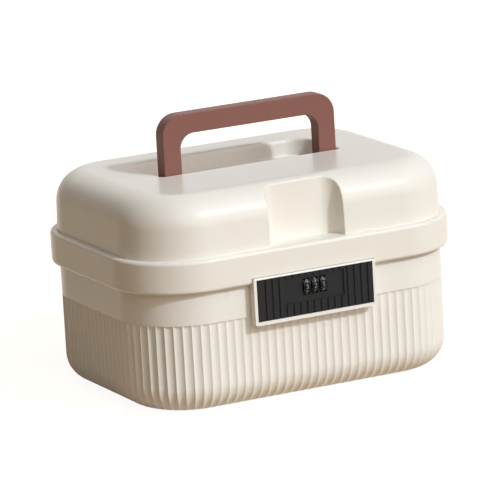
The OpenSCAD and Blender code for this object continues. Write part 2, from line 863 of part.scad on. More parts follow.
module bolt_spring() color("#a7aaae") {
    n = spring_steps * spring_turns;
    m = spring_sides;
    polyhedron(
        points = [for (i = [0:n], j = [0:m - 1]) spring_point(i, j)],
        faces = concat(
            [[for (j = [0:m - 1]) j]],
            [for (i = [0:n - 1], j = [0:m - 1], h = [0, 1])
                let (a = i * m + j, b = i * m + (j + 1) % m)
                h == 0 ? [a, b + m, b] : [a, a + m, b + m]],
            [[for (j = [m - 1:-1:0]) n * m + j]]));
}

base_shell();
hinge_pin_left();
hinge_pin_right();
flap_pin();
lid_shell();
handle_pin_left();
handle_pin_right();
striker();
striker_screws();
handle();
lock_frame();
lock_fascia();
lock_cover();
cover_screws();
lock_chassis();
dial_spindle();
detent_spring();
code_dial_left();
code_dial_middle();
code_dial_right();
lock_bolt();
bolt_spring();
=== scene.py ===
"""Looks for the lockable storage box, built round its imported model."""

import json
import math

import bmesh
import bpy
from mathutils import Matrix, Vector


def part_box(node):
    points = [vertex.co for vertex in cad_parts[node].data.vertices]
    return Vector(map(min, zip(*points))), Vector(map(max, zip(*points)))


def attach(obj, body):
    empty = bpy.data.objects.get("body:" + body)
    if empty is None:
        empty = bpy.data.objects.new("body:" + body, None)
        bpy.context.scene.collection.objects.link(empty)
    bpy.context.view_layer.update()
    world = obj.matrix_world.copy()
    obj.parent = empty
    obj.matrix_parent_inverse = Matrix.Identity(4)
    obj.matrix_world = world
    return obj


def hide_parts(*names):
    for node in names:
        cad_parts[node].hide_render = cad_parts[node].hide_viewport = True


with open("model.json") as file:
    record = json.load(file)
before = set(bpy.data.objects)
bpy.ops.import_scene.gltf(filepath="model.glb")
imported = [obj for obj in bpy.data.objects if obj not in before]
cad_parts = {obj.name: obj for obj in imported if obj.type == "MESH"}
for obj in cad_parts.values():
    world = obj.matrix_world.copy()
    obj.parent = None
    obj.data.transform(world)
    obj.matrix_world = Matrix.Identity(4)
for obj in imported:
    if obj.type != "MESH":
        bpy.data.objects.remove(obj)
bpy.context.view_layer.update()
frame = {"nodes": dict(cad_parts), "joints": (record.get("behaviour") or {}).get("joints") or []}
NODES = frame["nodes"]
MM = 0.001
X, Y, Z = 0, 1, 2


# Sizes and places, in millimetres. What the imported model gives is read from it

def low(node, axis):
    """Where a CAD piece begins along an axis."""
    return round(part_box(node)[0][axis] / MM, 2)


def high(node, axis):
    """Where a CAD piece ends along an axis."""
    return round(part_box(node)[1][axis] / MM, 2)


def joint_place(name):
    """The point that a joint turns about."""
    return [round(c / MM, 2) for joint in frame["joints"] if joint["name"] == name for c in joint["pos_m"]]


# The lid's band, and the wall that the base and the lid share
HX, HY, BOX_H = high("lid_shell", X), -low("lid_shell", Y), high("lid_shell", Z)
BAND_R, BAND_Z, BAND_H, BAND_EDGE = 61.0, 101.0, 26.7, 2.8
BAND_TOP = BAND_Z + BAND_H
WALL = 3.0
# Distances that count as the same point, as touching and as near, when points, faces or edges are picked
SAME, HAIR, NEAR = 0.002, 0.02, 0.05
# A normal this much along an axis faces that way
FACING = 0.9
# The handle's pivot and outline
_, PIVOT_Y, PIVOT_Z = joint_place("handle_fold")
HANDLE_HX, HANDLE_FRONT = high("handle", X), low("handle", Y)
HANDLE_T = high("handle", Y) - HANDLE_FRONT
REACH = round(high("handle", Z) - PIVOT_Z, 2)
OUTER_R = 17.0


# Colours and shader nodes

def linear(hex_colour):
    """An sRGB hex value as linear red, green, blue and an alpha of 1."""
    parts = [int(hex_colour[i:i + 2], 16) / 255 for i in (1, 3, 5)]
    return [p / 12.92 if p <= 0.04045 else ((p + 0.055) / 1.055) ** 2.4 for p in parts] + [1.0]


def add(tree, kind, values=None, links=None, **settings):
    """A shader node with its settings, its socket values and its links from (node, output) pairs."""
    made = tree.nodes.new(kind)
    for key, value in settings.items():
        setattr(made, key, value)
    for key, value in (values or {}).items():
        made.inputs[key].default_value = value
    for key, (source, output) in (links or {}).items():
        tree.links.new(source.outputs[output], made.inputs[key])
    return made


def new_material(name):
    """An empty material and its node tree."""
    material = bpy.data.materials.new(name)
    material.use_nodes = True
    material.node_tree.nodes.clear()
    return material, material.node_tree


def per_mm(size):
    """Noise scale that gives features about this many millimetres wide."""
    return 1 / (size * MM)


# Widths in millimetres of the patches in which a moulding's tone and gloss drift, and the gloss's drift
TONE_PATCH, GLOSS_PATCH, GLOSS_DRIFT = 70, 40, 0.015
# Worked lines: width as a share of length, depth in millimetres, and how far they move the roughness
LINE_SHARE, LINE_DEPTH, LINE_BRIGHTER, LINE_DULLER = 0.04, 0.02, 0.08, 0.1
# Paint of the digits: grain in millimetres, drawn coarser than a real one, and least and most roughness
PAINT_GRAIN, PAINT_GLOSSY, PAINT_DULL = 0.3, 0.45, 0.65


def moulded_plastic(name, colour, shade, roughness, peel, depth, ior=1.5, coat=0.0, shine=0.5):
    """Injection-moulded plastic: two close tones, a faint orange peel and a gloss that varies with handling.
    peel and depth are the width and height of the peel's waves in millimetres."""
    material, tree = new_material(name)
    place = add(tree, "ShaderNodeTexCoord")
    cloud = add(tree, "ShaderNodeTexNoise", {"Scale": per_mm(TONE_PATCH), "Detail": 2.0, "Roughness": 0.5},
                {"Vector": (place, "Object")})
    # Sockets 6 and 7 are the mix's two colours, and output 2 is the colour that it gives
    tone = add(tree, "ShaderNodeMix", {6: linear(colour), 7: linear(shade)}, {0: (cloud, 0)},
               data_type="RGBA")
    skin = add(tree, "ShaderNodeTexNoise", {"Scale": per_mm(peel), "Detail": 3.0, "Roughness": 0.55},
               {"Vector": (place, "Object")})
    handled = add(tree, "ShaderNodeTexNoise", {"Scale": per_mm(GLOSS_PATCH), "Detail": 2.0, "Roughness": 0.5},
                  {"Vector": (place, "Object")})
    gloss = add(tree, "ShaderNodeMapRange",
                {"To Min": roughness - GLOSS_DRIFT, "To Max": roughness + GLOSS_DRIFT},
                {"Value": (handled, 0)})
    relief = add(tree, "ShaderNodeBump", {"Strength": 0.25, "Distance": depth * MM}, {"Height": (skin, 0)})
    shader = add(tree, "ShaderNodeBsdfPrincipled",
                 {"IOR": ior, "Specular IOR Level": shine, "Coat Weight": coat, "Coat Roughness": 0.09},
                 {"Base Color": (tone, 2), "Roughness": (gloss, 0), "Normal": (relief, 0)})
    add(tree, "ShaderNodeOutputMaterial", None, {"Surface": (shader, 0)})
    return material


def worked_steel(name, colour, roughness, line, along):
    """Plain steel with the fine lines of its rolling, drawing or turning, stretched along one axis.
    The lines are several times wider than real ones, because those wouldn't show."""
    material, tree = new_material(name)
    place = add(tree, "ShaderNodeTexCoord")
    stretch = [1.0, 1.0, 1.0]
    stretch[along] = LINE_SHARE
    run = add(tree, "ShaderNodeMapping", {"Scale": stretch}, {"Vector": (place, "Object")})
    lines = add(tree, "ShaderNodeTexNoise", {"Scale": per_mm(line), "Detail": 3.0}, {"Vector": (run, 0)})
    gloss = add(tree, "ShaderNodeMapRange",
                {"To Min": roughness - LINE_BRIGHTER, "To Max": roughness + LINE_DULLER},
                {"Value": (lines, 0)})
    relief = add(tree, "ShaderNodeBump", {"Strength": 0.2, "Distance": LINE_DEPTH * MM},
                 {"Height": (lines, 0)})
    shader = add(tree, "ShaderNodeBsdfPrincipled", {"Base Color": linear(colour), "Metallic": 1.0},
                 {"Roughness": (gloss, 0), "Normal": (relief, 0)})
    add(tree, "ShaderNodeOutputMaterial", None, {"Surface": (shader, 0)})
    return material


def printed_paint(name, colour):
    """Printed paint of the digits, a little chalky against the moulding."""
    material, tree = new_material(name)
    place = add(tree, "ShaderNodeTexCoord")
    grain = add(tree, "ShaderNodeTexNoise", {"Scale": per_mm(PAINT_GRAIN), "Detail": 2.0},
                {"Vector": (place, "Object")})
    gloss = add(tree, "ShaderNodeMapRange", {"To Min": PAINT_GLOSSY, "To Max": PAINT_DULL},
                {"Value": (grain, 0)})
    shader = add(tree, "ShaderNodeBsdfPrincipled", {"Base Color": linear(colour), "Specular IOR Level": 0.2},
                 {"Roughness": (gloss, 0)})
    add(tree, "ShaderNodeOutputMaterial", None, {"Surface": (shader, 0)})
    return material


# Cream ABS of the base, from a lightly polished mould: a soft sheen that shows each flute
cream_base = moulded_plastic("moulded_abs_cream_base", "#ede9e2", "#ebe7e0", 0.28, 1.6, 0.004, shine=0.4)
# Cream ABS of the lid, from a highly polished mould: a thin clear gloss over a soft body, which draws
# a crisp line along the front of the dome and a faint picture of the handle's legs
cream_lid = moulded_plastic("moulded_abs_cream_lid", "#ede8df", "#ebe6dc", 0.34, 1.6, 0.003,
                            coat=0.22, shine=0.2)
# Cream ABS of the lock frame: a shade whiter and glossier than the base, so that its edge stands out
cream_frame = moulded_plastic("moulded_abs_cream_frame", "#efece6", "#ece9e3", 0.25, 1.6, 0.006)
# Brown-red polypropylene of the handle, satin: even colour with hardly any reflection
brown_red_pp = moulded_plastic("moulded_polypropylene_brown_red", "#865b52", "#82584f", 0.44, 1.1, 0.012,
                               ior=1.49, shine=0.18)
# Black ABS of the lock's plate and back, from a spark-eroded mould: its fine grain greys it slightly.
# The grain of the black mouldings is 0.5 mm wide, drawn coarser than a real one so that it shows
black_abs = moulded_plastic("moulded_abs_black", "#131313", "#101011", 0.72, 0.5, 0.02, shine=0.3)
black_back = moulded_plastic("moulded_abs_black_back", "#171717", "#141415", 0.7, 0.5, 0.02)
# Black acetal of the dials: smoother and darker than the plate, so that the digits stand out
black_acetal = moulded_plastic("moulded_acetal_black", "#080808", "#070707", 0.42, 0.5, 0.004, shine=0.12)
# Grey paint printed on the digits: matt, so that they read evenly against the dials
digit_paint = printed_paint("digit_paint_grey", "#8a8a87")
# Drawn steel of the pins, the spindle and the bolt: bright, with lines along the rod
drawn_steel = worked_steel("drawn_steel", "#b9bcc0", 0.3, 0.25, X)
# Pressed sheet steel of the striker and the dials' bracket: greyer and duller, with upright rolling lines
pressed_steel = worked_steel("pressed_steel", "#a5a8ac", 0.38, 0.35, Z)
# Spring steel strip and wire: between the two, with the finest lines
spring_steel = worked_steel("spring_steel", "#a7aaae", 0.32, 0.2, X)
# Zinc-plated screws: pale grey with a soft sheen
zinc_screw = worked_steel("zinc_plated_steel", "#a8abaf", 0.35, 0.3, Y)


# Mesh helpers, in millimetres until a mesh is made

def new_mesh(name, verts, faces):
    """A mesh in metres from points in millimetres."""
    mesh = bpy.data.meshes.new(name)
    mesh.from_pydata([[c * MM for c in v] for v in verts], [], faces)
    return mesh


def placed(name, data):
    """A new object with this mesh, curve, lamp or camera, in the scene."""
    thing = bpy.data.objects.new(name, data)
    bpy.context.collection.objects.link(thing)
    return thing


def finish_piece(name, mesh, material, body, sharp=32.0, weighted=True):
    """One finished piece that rides on a body, shaded smooth up to an angle in degrees."""
    mesh.validate()
    mesh.materials.clear()
    mesh.materials.append(material)
    for face in mesh.polygons:
        face.use_smooth = True
        face.material_index = 0
    mesh.set_sharp_from_angle(angle=math.radians(sharp))
    piece = placed(name, mesh)
    if weighted:
        even = piece.modifiers.new("even_shading", "WEIGHTED_NORMAL")
        even.keep_sharp = True
        even.weight = 80
    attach(piece, body)
    return piece


def arc(cx, cy, r, a0, a1, steps):
    """Points on an arc, both ends included, with angles in degrees."""
    return [(cx + r * math.cos(math.radians(a0 + (a1 - a0) * i / steps)),
             cy + r * math.sin(math.radians(a0 + (a1 - a0) * i / steps))) for i in range(steps + 1)]


def corner_seats(cx, cy, steps):
    """Places round a rounded rectangle: (core x, core y, outward x, outward y), anticlockwise from +X."""
    seats = []
    for q, (sx, sy) in enumerate([(1, 1), (-1, 1), (-1, -1), (1, -1)]):
        for i in range(steps + 1):
            a = math.radians(90 * q + 90 * i / steps)
            seats.append((sx * cx, sy * cy, math.cos(a), math.sin(a)))
    return seats


def loft(rings, skip=None):
    """Faces between rings of equal length, in order along the profile, with flat end caps.
    skip(ring, place) leaves a face out."""
    verts, faces, count = [], [], len(rings[0])
    for ring in rings:
        verts += ring
    for k in range(len(rings) - 1):
        for i in range(count):
            j = (i + 1) % count
            if skip and skip(k, i):
                continue
            faces.append((k * count + i, k * count + j, (k + 1) * count + j, (k + 1) * count + i))
    faces.append(tuple(reversed(range(count))))
    faces.append(tuple(range((len(rings) - 1) * count, len(rings) * count)))
    return verts, faces


def prism(outline, z0, z1):
    """A flat outline raised from z0 to z1."""
    return loft([[(x, y, z) for x, y in outline] for z in (z0, z1)])


def cad_faces(node, keep):
    """Triangles of a CAD piece, in millimetres, whose middle, normal and corners pass a test."""
    mesh = NODES[node].data
    mesh.calc_loop_triangles()
    verts, faces, known = [], [], {}
    for tri in mesh.loop_triangles:
        points = [mesh.vertices[i].co / MM for i in tri.vertices]
        if keep(sum(points, Vector()) / 3, tri.normal, points):
            ids = []
            for p in points:
                key = tuple(round(c, 4) for c in p)
                if key not in known:
                    known[key] = len(verts)
                    verts.append(tuple(p))
                ids.append(known[key])
            if len(set(ids)) == 3:
                faces.append(tuple(ids))
    return verts, faces


def joined(parts):
    """Several (points, faces) pairs as one."""
    verts, faces = [], []
    for v, f in parts:
        start = len(verts)
        verts += v
        faces += [tuple(i + start for i in face) for face in f]
    return verts, faces


def temporary(verts, faces):
    """A solid to cut or join with, which combined takes away again."""
    return placed("tool", new_mesh("tool", verts, faces))


def combined(target, steps):
    """The target's mesh after each (operation, tool) in turn; the tools go away."""
    for operation, tool in steps:
        change = target.modifiers.new("change", "BOOLEAN")
        change.operation, change.solver, change.object = operation, "EXACT", tool
    bpy.context.view_layer.update()
    mesh = bpy.data.meshes.new_from_object(target.evaluated_get(bpy.context.evaluated_depsgraph_get()))
    for thing in [target] + [tool for _, tool in steps]:
        bpy.data.objects.remove(thing)
    return mesh


def edges_softened(mesh, pick, width, steps, angle=30.0):
    """Rounds the sharp convex edges that pass a test on their two ends, in millimetres."""
    work = bmesh.new()
    work.from_mesh(mesh)
    bmesh.ops.remove_doubles(work, verts=work.verts, dist=SAME * MM)
    chosen = [e for e in work.edges
              if len(e.link_faces) == 2 and e.is_convex and e.calc_face_angle() > math.radians(angle)
              and pick(e.verts[0].co / MM, e.verts[1].co / MM)]
    bmesh.ops.bevel(work, geom=chosen, offset=width * MM, offset_type="OFFSET", segments=steps, profile=0.5,
                    affect="EDGES", clamp_overlap=False)
    work.to_mesh(mesh)
    work.free()


def with_faces(name, mesh, verts, faces):
    """A new mesh of this one and some more faces."""
    work = bmesh.new()
    work.from_mesh(mesh)
    extra = [work.verts.new([c * MM for c in v]) for v in verts]
    for face in faces:
        work.faces.new([extra[i] for i in face])
    both = bpy.data.meshes.new(name)
    work.to_mesh(both)
    work.free()
    return both


# Base: fluted wall whose flutes run round the bottom edge

BASE_HX, RIM_Z = high("base_shell", X), high("base_shell", Z)
# The wall lies as far inside the band at its front as at its sides
BASE_HY = HY - (HX - BASE_HX)
BASE_R, BASE_FILLET = 57.0, 22.6
FLUTE_TOP, FLUTE_PITCH, FLUTE_DEPTH, FLUTE_SINK = 74.0, 7.4, 1.2, 0.1
FLUTE_STEPS, BOTTOM_STEPS, INSIDE_STEPS = 8, 18, 14
# Round the bottom edge, from -90 degrees at the underside to 0 at the wall: where the flutes begin, and
# over how many degrees they grow to their full depth
FADE_FROM, FADE_OVER = -80, 24
# Rows half way up the flutes and half way up the plain strip, which keep the shading even, and rows
# close below and above the flutes' ends, which keep those crisp
FLUTE_MIDDLE, STRIP_MIDDLE = 45.0, 90.0
END_BELOW, END_ABOVE, END_CLEAR = 0.4, 0.15, 0.9
# Rounded edge of the rim: its radius, how far in the arc's middle is, and where the wall below it starts
RIM_EDGE, RIM_BEND, RIM_DROP = 0.6, 0.2, 1.4
# Window in the wall for the lock's case, and the well behind it with its own walls
WINDOW_HX, WINDOW_Z0, WINDOW_Z1 = 28.5, 71.2, 108.0
WELL_HX, WELL_BACK, WELL_FRONT, WELL_Z0 = 31.1, -89.3, -103.0, 68.6


def fluted_seats():
    """Places round the base wall from the middle of its front: core point, outward way, flute's depth."""
    cx, cy, bend = BASE_HX - BASE_R, BASE_HY - BASE_R, BASE_R * math.pi / 2
    quarter = cx + bend + cy
    count = 2 * round(2 * quarter / FLUTE_PITCH)
    pitch = 4 * quarter / count
    r = (pitch ** 2 / 4 + FLUTE_DEPTH ** 2) / (2 * FLUTE_DEPTH)
    steps = [i * pitch / FLUTE_STEPS for i in range(count * FLUTE_STEPS)]
    seats = []
    for s in sorted(steps + [WINDOW_HX, 4 * quarter - WINDOW_HX]):
        k = int(s // quarter)
        t = s - k * quarter if k % 2 == 0 else (k + 1) * quarter - s
        if t < cx:
            seat = (t, -cy, 0.0, -1.0)
        elif t < cx + bend:
            seat = (cx, -cy, math.sin((t - cx) / BASE_R), -math.cos((t - cx) / BASE_R))
        else:
            seat = (cx, t - quarter, 1.0, 0.0)
        mx, my = (1 if k < 2 else -1), (1 if k in (0, 3) else -1)
        w = (s / pitch + 0.5) % 1 * pitch - pitch / 2
        depth = FLUTE_SINK + max(0.0, math.sqrt(r * r - w * w) - (r - FLUTE_DEPTH))
        seats.append((seat[0] * mx, seat[1] * my, seat[2] * mx, seat[3] * my, depth))
    return seats


def base_rows():
    """The base's profile from the middle of its underside, up, over the rim and down inside.
    Each row is (distance from the core, height, share of the flute's depth, outward x, outward z)."""
    run = BASE_R - BASE_FILLET
    rows = []
    for i in range(BOTTOM_STEPS + 1):
        a = -90 + 90 * i / BOTTOM_STEPS
        fade = min(1.0, max(0.0, (a - FADE_FROM) / FADE_OVER))
        out = (math.cos(math.radians(a)), math.sin(math.radians(a)))
        share = fade * fade * (3 - 2 * fade)
        rows.append((run + BASE_FILLET * out[0], BASE_FILLET + BASE_FILLET * out[1], share, out[0], out[1]))
    rim = [(0, RIM_Z - RIM_DROP), (0, RIM_Z - RIM_EDGE), (RIM_BEND, RIM_Z - RIM_BEND), (RIM_EDGE, RIM_Z)]
    rim += [(WALL - into, z) for into, z in reversed(rim)]
    wall = [(0, FLUTE_MIDDLE, 1), (0, WINDOW_Z0, 1), (0, FLUTE_TOP - END_BELOW, 1), (0, FLUTE_TOP, 1),
            (FLUTE_SINK, FLUTE_TOP, 0), (0, FLUTE_TOP + END_ABOVE, 0), (0, FLUTE_TOP + END_CLEAR, 0),
            (0, STRIP_MIDDLE, 0), (0, WINDOW_Z1, 0)]
    wall += [(into, z, 0) for into, z in rim + [(WALL, WINDOW_Z1), (WALL, WINDOW_Z0)]]
    rows += [(BASE_R - into, z, share, 1.0, 0.0) for into, z, share in wall]
    inner = BASE_FILLET - WALL
    rows += [(r, z, 0, 1.0, 0.0) for r, z in arc(run, WALL + inner, inner, 0, -90, INSIDE_STEPS)]
    return rows


def in_well(middle, normal, corners):
    """Faces of the well for the lock's case, without the wall that the window is cut in."""
    in_wall = abs(normal.y) > FACING and middle.y < WELL_FRONT
    return (abs(middle.x) < WELL_HX and -BASE_HY - HAIR <= middle.y < WELL_BACK and not in_wall
            and WELL_Z0 < middle.z < WINDOW_Z1 + NEAR and max(c.z for c in corners) < WINDOW_Z1 + NEAR)


def build_base():
    seats, rows = fluted_seats(), base_rows()
    rings = [[(bx + nx * (r - ox * share * d), by + ny * (r - ox * share * d), z - oz * share * d)
              for bx, by, nx, ny, d in seats] for r, z, share, ox, oz in rows]
    front = [ny < -FACING and abs(bx + nx) <= WINDOW_HX + HAIR for bx, by, nx, ny, _ in seats]

    def in_window(k, i):
        lower, upper = sorted((rows[k][1], rows[k + 1][1]))
        return (front[i] and front[(i + 1) % len(seats)]
                and lower >= WINDOW_Z0 - HAIR and upper <= WINDOW_Z1 + HAIR)

    shell = loft(rings, skip=in_window)
    arms = cad_faces("base_shell", lambda middle, normal, corners: middle.y > BASE_HY + NEAR)
    lugs = cad_faces("base_shell", lambda middle, normal, corners: middle.y < -BASE_HY - HAIR)
    shape = new_mesh("fluted_base", *joined([shell, arms, lugs, cad_faces("base_shell", in_well)]))
    piece = finish_piece("fluted_base", shape, cream_base, "base", sharp=40.0)
    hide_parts("base_shell")


build_base()


# Lid: band with round edges, domed top, thumb recess and handle pocket

# The band's wall is a little thicker than the base's, and inside it ends at a web under the dome's foot
SKIRT_MORE = 0.2
SKIRT, WEB_Z = WALL + SKIRT_MORE, BAND_TOP - WALL
# The dome's foot stands this far inside the band, and its wall leans in by the draft
DOME_STEP, DRAFT = 5.7, math.radians(2.4)
DOME_HX, DOME_HY, DOME_R, DOME_FILLET = HX - DOME_STEP, HY - DOME_STEP, 55.5, 26.0
# Thumb recess: half width, how far it goes in from the band's front, corners, and its rounded rim
NOTCH_HX, NOTCH_IN, NOTCH_R = 33.5, 22.8, 12.5
NOTCH_Y = -HY + NOTCH_IN
NOTCH_RIM, NOTCH_RIM_STEPS = 1.1, 3
# The recess's own wall is cut to a dome, which lies this far inside the lid's and starts this far below
# the band's top
LINING_IN, LINING_DOWN = 0.8, 4.0
# The pocket leaves this room beside, before and beyond the handle when that lies in it
ROOM_SIDE, ROOM_FRONT, ROOM_END = 3.7, 0.8, 2.2
POCKET_HX, POCKET_Y0 = HANDLE_HX + ROOM_SIDE, HANDLE_FRONT - ROOM_FRONT
POCKET_Y1 = round(PIVOT_Y + REACH + ROOM_END, 2)
# The pocket's depth, the thickness of its own wall, and how far below the lid's top that ends
POCKET_DEPTH, POCKET_WALL, POCKET_WALL_DOWN = 14.6, 2.5, 1.0
POCKET_Z = BOX_H - POCKET_DEPTH
POCKET_FRONT_R, POCKET_BACK_R = 5.5, OUTER_R + ROOM_END
# Radii of the pocket's rim at its front, sides and back, and of its foot
RIM_FRONT, RIM_SIDE, RIM_BACK, POCKET_FOOT = 0.8, 1.6, 3.6, 1.5
# The handle's pin bosses in the pocket's ends
BOSS_IN, BOSS_OUT, BOSS_R, BOSS_TOP = 84.8, 88.85, 5.6, 173.3
# The lock frame, with the room that the band leaves round it
LOCK_HX, LOCK_TOP, LOCK_ROOM = high("lock_frame", X), high("lock_frame", Z), 0.4
# How far the cutting shapes stick out past what they cut
PAST_FRONT, PAST_TOP, PAST_BAND, PAST_WEB = 8.0, 5.0, 1.0, 0.01
CORNER_STEPS, FILLET_STEPS, BAND_STEPS, NOTCH_STEPS = 30, 18, 6, 14
POCKET_STEPS, POCKET_RIM_STEPS, POCKET_FOOT_STEPS = 12, 8, 5


def notch_outline(grow):
    """The thumb recess seen from above, grown outwards."""
    r, back, half = NOTCH_R + grow, NOTCH_Y + grow, NOTCH_HX + grow
    front = [(-half, -HY - PAST_FRONT), (half, -HY - PAST_FRONT)]
    return (front + arc(half - r, back - r, r, 0, 90, NOTCH_STEPS)
            + arc(-half + r, back - r, r, 90, 180, NOTCH_STEPS))


def pocket_ring(z, turn=None, grow=0.0):
    """The pocket's outline at height z; turn says how far up its rounded rim it is, in degrees."""
    ring = []
    for sx, sy, a0 in ((1, -1, -90), (1, 1, 0), (-1, 1, 90), (-1, -1, 180)):
        r, end_rim = (POCKET_FRONT_R, RIM_FRONT) if sy < 0 else (POCKET_BACK_R, RIM_BACK)
        cx, cy = sx * (POCKET_HX - r), (POCKET_Y0 + r if sy < 0 else POCKET_Y1 - r)
        for i in range(POCKET_STEPS + 1):
            a = math.radians(a0 + 90 * i / POCKET_STEPS)
            nx, ny = math.cos(a), math.sin(a)
            rim = RIM_SIDE + (end_rim - RIM_SIDE) * ny ** 2
            out, height = grow, z
            if turn is not None:
                out += rim * (1 - math.cos(math.radians(turn)))
                height -= rim * (1 - math.sin(math.radians(turn)))
            ring.append((cx + nx * (r + out), cy + ny * (r + out), height))
    return ring


def pocket_space():
    """Rings of the room in the pocket: rounded foot, walls, rounded rim."""
    foot = [pocket_ring(z, grow=x)
            for x, z in arc(-POCKET_FOOT, POCKET_Z + POCKET_FOOT, POCKET_FOOT, -90, 0, POCKET_FOOT_STEPS)]
    rim = [pocket_ring(BOX_H, turn=90 * i / POCKET_RIM_STEPS) for i in range(POCKET_RIM_STEPS + 1)]
    top = [(x, y, BOX_H + PAST_TOP) for x, y, z in rim[-1]]
    return foot + rim + [top]


def dome_rows(inset, z0):
    """Dome profile from height z0 up to its flat top, as (core x, core y, distance, height)."""
    r0 = DOME_R - inset - (z0 - BAND_TOP) * math.tan(DRAFT)
    fillet, top = DOME_FILLET - inset, BOX_H - inset
    cz = top - fillet
    run = r0 - (fillet + (cz - z0) * math.sin(DRAFT)) / math.cos(DRAFT)
    cx, cy = DOME_HX - DOME_R, DOME_HY - DOME_R
    rows = [(cx, cy, r0, z0)]
    rows += [(cx, cy, r, z) for r, z in arc(run, cz, fillet, math.degrees(DRAFT), 90, FILLET_STEPS)]
    return rows


def lid_ring(row):
    """A rounded rectangle round one row of the lid's profile."""
    cx, cy, r, z = row
    return [(bx + nx * r, by + ny * r, z) for bx, by, nx, ny in corner_seats(cx, cy, CORNER_STEPS)]


def on_notch_rim(a, b):
    """Whether an edge belongs to the recess, above the band."""
    return (min(a.z, b.z) > BAND_TOP - NEAR and max(a.z, b.z) > BAND_TOP + NEAR
            and max(abs(a.x), abs(b.x)) < NOTCH_HX + NEAR and max(a.y, b.y) < NOTCH_Y + NEAR)


def on_boss(middle, normal, corners):
    """Faces of the two bosses that hold the handle's pins."""
    return (BOSS_IN < abs(middle.x) < BOSS_OUT and middle.z < BOSS_TOP
            and math.hypot(middle.y - PIVOT_Y, middle.z - PIVOT_Z) < BOSS_R)


def build_lid():
    cx, cy = HX - BAND_R, HY - BAND_R
    edge = BAND_R - BAND_EDGE
    inside = list(reversed(dome_rows(WALL, WEB_Z)))
    skirt = [(cx, cy, BAND_R - SKIRT, WEB_Z), (cx, cy, BAND_R - SKIRT, BAND_Z)]
    band = [(cx, cy, r, z) for r, z in arc(edge, BAND_Z + BAND_EDGE, BAND_EDGE, -90, 0, BAND_STEPS)]
    band += [(cx, cy, r, z) for r, z in arc(edge, BAND_TOP - BAND_EDGE, BAND_EDGE, 0, 90, BAND_STEPS)]
    outside = dome_rows(0, BAND_TOP)
    body = temporary(*loft([lid_ring(row) for row in inside + skirt + band + outside]))
    inner_dome = temporary(*loft([lid_ring(row) for row in dome_rows(LINING_IN, BAND_TOP - LINING_DOWN)]))
    lining = temporary(*prism(notch_outline(WALL), WEB_Z - PAST_WEB, BOX_H))
    lining = combined(lining, [("INTERSECT", inner_dome)])
    lock_side, lock_front, lock_back = LOCK_HX + LOCK_ROOM, -HY - PAST_BAND, -HY + SKIRT + PAST_BAND
    lock_plan = [(-lock_side, lock_front), (lock_side, lock_front),
                 (lock_side, lock_back), (-lock_side, lock_back)]
    pocket_walls = [pocket_ring(z, grow=POCKET_WALL)
                    for z in (POCKET_Z - POCKET_WALL, BOX_H - POCKET_WALL_DOWN)]
    mesh = combined(body, [
        ("UNION", placed("tool", lining)),
        ("UNION", temporary(*loft(pocket_walls))),
        ("DIFFERENCE", temporary(*prism(notch_outline(0), BAND_TOP, BOX_H + PAST_TOP))),
        ("DIFFERENCE", temporary(*loft(pocket_space()))),
        ("DIFFERENCE", temporary(*prism(lock_plan, BAND_Z - PAST_BAND, LOCK_TOP + LOCK_ROOM)))])
    edges_softened(mesh, on_notch_rim, NOTCH_RIM, NOTCH_RIM_STEPS)
    knuckles = cad_faces("lid_shell", lambda middle, normal, corners: middle.y > HY + HAIR)
    shell = with_faces("domed_lid", mesh, *joined([knuckles, cad_faces("lid_shell", on_boss)]))
    piece = finish_piece("domed_lid", shell, cream_lid, "lid", sharp=34.0)
    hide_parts("lid_shell")


build_lid()


# Handle: a U whose section runs along its legs and bar

LEG_W, BAR_H, INNER_R = 16.0, 16.5, 12.5
HANDLE_EDGE, EDGE_STEPS = 1.0, 4
# The largest share of its half thickness that the rounding of its edge takes, where its foot is thin
EDGE_SHARE = 0.6
# The round foot of a leg starts with a narrow flat, so that the first ring has an area
FOOT_FLAT, FOOT_STEPS, TURN_STEPS = 0.35, 8, 22


def build_handle():
    inner_hx = HANDLE_HX - LEG_W
    outer_c = (HANDLE_HX - OUTER_R, PIVOT_Z + REACH - OUTER_R)
    inner_c = (inner_hx - INNER_R, PIVOT_Z + REACH - BAR_H - INNER_R)
    half = HANDLE_T / 2
    # Each station is a point on the outer line, one on the inner line, and half the thickness there
    stations = []
    for i in range(FOOT_STEPS + 1):
        turn = math.radians(90 * i / FOOT_STEPS)
        z = PIVOT_Z - half * math.cos(turn)
        stations.append(((HANDLE_HX, z), (inner_hx, z), half * math.sin(turn) if i else FOOT_FLAT))
    outer_turn = arc(outer_c[0], outer_c[1], OUTER_R, 0, 90, TURN_STEPS)
    inner_turn = arc(inner_c[0], inner_c[1], INNER_R, 0, 90, TURN_STEPS)
    right = stations + [(o, i, half) for o, i in zip(outer_turn, inner_turn)]
    left = [((-o[0], o[1]), (-i[0], i[1]), t) for o, i, t in reversed(right)]
    rings = []
    for o, i, t in right + left:
        across = Vector((o[0] - i[0], 0, o[1] - i[1]))
        width = across.length
        across.normalize()
        edge = min(HANDLE_EDGE, t * EDGE_SHARE)
        middle = Vector(((o[0] + i[0]) / 2, PIVOT_Y, (o[1] + i[1]) / 2))
        ring = []
        for su, sv, a0 in ((1, 1, 0), (-1, 1, 90), (-1, -1, 180), (1, -1, 270)):
            for u, v in arc(su * (width / 2 - edge), sv * (t - edge), edge, a0, a0 + 90, EDGE_STEPS):
                ring.append(tuple(middle + across * u + Vector((0, v, 0))))
        rings.append(ring)
    shape = new_mesh("carry_handle", *loft(rings))
    piece = finish_piece("carry_handle", shape, brown_red_pp, "handle", sharp=50.0)
    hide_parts("handle")


build_handle()


# Lock plate: ribs, sunk panel and windows

PLATE_HX, PLATE_Y = high("lock_fascia", X), low("lock_fascia", Y)
PLATE_Z0, PLATE_Z1 = low("lock_fascia", Z), high("lock_fascia", Z)
